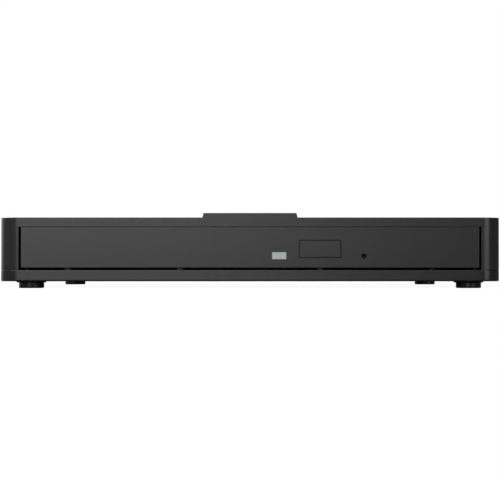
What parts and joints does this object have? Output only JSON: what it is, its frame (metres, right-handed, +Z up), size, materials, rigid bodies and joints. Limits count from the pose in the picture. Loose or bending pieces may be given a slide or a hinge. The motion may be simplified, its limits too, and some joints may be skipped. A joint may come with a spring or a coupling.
{
  "type": "external disc drive",
  "caption": "Slim black external disc drive with a raised centre band on its lid, a front drawer with eject button and indicator window, rubber feet and a rear USB inlet.",
  "frame": {"origin": "on the table, under the middle of the casing's footprint", "axes": "+Z up, the drawer's front faces -Y, +X to the viewer's right from the front"},
  "size_m": [0.1404, 0.145, 0.0211],
  "materials": {
    "case_plastic": "fine satin texture",
    "foot_rubber": "smooth",
    "black_screw_steel": "black coating",
    "plain_screw_steel": "zinc plated",
    "foam": "soft open cell",
    "zinc_steel": "galvanised sheet",
    "frame_steel": "pressed sheet",
    "bright_steel": "bright",
    "guide_plastic": "natural",
    "board_green": "solder mask",
    "socket_plastic": "plain",
    "chip_black": "moulded",
    "ribbon_film": "film",
    "nickel_shell": "nickel plated",
    "tray_plastic": "fine texture",
    "window_plastic": "clear moulded",
    "indicator_resin": "clear resin",
    "coil_copper": "enamelled wire",
    "claw_plastic": "natural",
    "sled_alloy": "die cast",
    "magnet_plate": "plated",
    "lens_glass": "coated"
  },
  "bodies": {
    "casing": {"bottom_cover": "case_plastic", "side_frame": "case_plastic", "top_cover": "case_plastic", "rubber_feet": "foot_rubber", "cover_screws": "black_screw_steel", "foam_pads": "foam", "lower_case": "zinc_steel", "upper_case": "zinc_steel", "case_screws": "plain_screw_steel", "rail_guides": "guide_plastic", "latch_post": "plain_screw_steel", "connector_board": "board_green", "drive_socket": "socket_plastic", "ribbon_fixed_leg": "ribbon_film", "bridge_board": "board_green", "bridge_screws": "plain_screw_steel", "drive_plug": "socket_plastic", "bridge_chips": "chip_black", "usb_port": "nickel_shell"},
    "drawer": {"disc_tray": "tray_plastic", "tray_bottom_plate": "zinc_steel", "front_bezel": "case_plastic", "indicator_window": "window_plastic", "switch_board": "board_green", "indicator": "indicator_resin", "eject_switch": "chip_black", "main_board": "board_green", "board_chips": "chip_black", "tray_screws": "black_screw_steel", "traverse_frame": "frame_steel", "frame_dampers": "foot_rubber", "guide_rods": "bright_steel", "spindle_base": "frame_steel", "spindle_stator": "coil_copper", "sled_motor": "bright_steel", "latch_coil": "coil_copper", "latch_spring": "bright_steel", "ribbon_tray_leg": "ribbon_film", "ejector_spring": "bright_steel"},
    "left_rail": {"left_rail": "bright_steel"},
    "right_rail": {"right_rail": "bright_steel"},
    "eject_button": {"eject_button": "case_plastic"},
    "switch_plunger": {"switch_plunger": "window_plastic"},
    "spindle": {"spindle_rotor": "bright_steel", "friction_ring": "foot_rubber", "disc_hub": "tray_plastic", "claw_springs": "bright_steel"},
    "claw_1": {"clamp_claw_1": "claw_plastic"},
    "claw_2": {"clamp_claw_2": "claw_plastic"},
    "claw_3": {"clamp_claw_3": "claw_plastic"},
    "pickup": {"pickup_body": "sled_alloy", "pickup_cover": "bright_steel", "lens_magnets": "magnet_plate", "feed_nut": "claw_plastic"},
    "lens": {"lens_holder": "tray_plastic", "lens": "lens_glass"},
    "lead_screw": {"lead_screw": "bright_steel"},
    "latch_lever": {"latch_lever": "claw_plastic"},
    "latch_plunger": {"latch_plunger": "bright_steel"},
    "ejector": {"ejector_rod": "claw_plastic"}
  },
  "joints": [
    {"name": "tray_slide", "type": "slide", "parent": "casing", "child": "drawer", "axis": [0, -1, 0], "range_m": [0, 0.126], "deforming": ["ribbon_fixed_leg"]},
    {"name": "left_rail_slide", "type": "slide", "parent": "casing", "child": "left_rail", "axis": [0, -1, 0], "range_m": [0, 0.063]},
    {"name": "right_rail_slide", "type": "slide", "parent": "casing", "child": "right_rail", "axis": [0, -1, 0], "range_m": [0, 0.063]},
    {"name": "eject_button_press", "type": "slide", "parent": "drawer", "child": "eject_button", "axis": [0, 1, 0], "range_m": [0, 0.0004], "stiffness_N_per_m": 500},
    {"name": "switch_plunger_press", "type": "slide", "parent": "drawer", "child": "switch_plunger", "axis": [0, 1, 0], "range_m": [0, 0.0004]},
    {"name": "spindle_spin", "type": "hinge", "parent": "drawer", "child": "spindle", "pos_m": [0, -0.007, 0.012], "axis": [0, 0, 1], "continuous": true},
    {"name": "claw_1_slide", "type": "slide", "parent": "spindle", "child": "claw_1", "axis": [-1, 0, 0], "range_m": [0, 0.0005], "stiffness_N_per_m": 200, "deforming": ["claw_springs"]},
    {"name": "claw_2_slide", "type": "slide", "parent": "spindle", "child": "claw_2", "axis": [0.5, -0.866, 0], "range_m": [0, 0.0005], "stiffness_N_per_m": 200, "deforming": ["claw_springs"]},
    {"name": "claw_3_slide", "type": "slide", "parent": "spindle", "child": "claw_3", "axis": [0.5, 0.866, 0], "range_m": [0, 0.0005], "stiffness_N_per_m": 200, "deforming": ["claw_springs"]},
    {"name": "sled_slide", "type": "slide", "parent": "drawer", "child": "pickup", "axis": [-0.7071, -0.7071, 0], "range_m": [0, 0.033]},
    {"name": "lead_screw_spin", "type": "hinge", "parent": "drawer", "child": "lead_screw", "pos_m": [-0.00566, -0.04377, 0.01034], "axis": [-0.7071, -0.7071, 0], "range_deg": [-3961, 0]},
    {"name": "lens_focus", "type": "slide", "parent": "pickup", "child": "lens", "axis": [0, 0, 1], "range_m": [-0.0003, 0.0003], "stiffness_N_per_m": 30},
    {"name": "latch_turn", "type": "hinge", "parent": "drawer", "child": "latch_lever", "pos_m": [0.046, -0.045, 0.009], "axis": [0, 0, 1], "range_deg": [0, 10]},
    {"name": "latch_plunger_slide", "type": "slide", "parent": "drawer", "child": "latch_plunger", "axis": [-1, 0, 0], "range_m": [0, 0.00104], "stiffness_N_per_m": 50, "deforming": ["latch_spring"]},
    {"name": "ejector_slide", "type": "slide", "parent": "drawer", "child": "ejector", "axis": [0, 1, 0], "range_m": [0, 0.01], "deforming": ["ejector_spring"]}
  ],
  "couplings": [
    {"joint": "left_rail_slide", "follows": "tray_slide", "ratio": 0.5},
    {"joint": "right_rail_slide", "follows": "tray_slide", "ratio": 0.5},
    {"joint": "ejector_slide", "follows": "tray_slide", "ratio": 0.0793},
    {"joint": "switch_plunger_press", "follows": "eject_button_press", "ratio": 1},
    {"joint": "lead_screw_spin", "follows": "sled_slide", "rad_per_m": -2094.4},
    {"joint": "latch_turn", "follows": "latch_plunger_slide", "rad_per_m": 166.67}
  ]
}
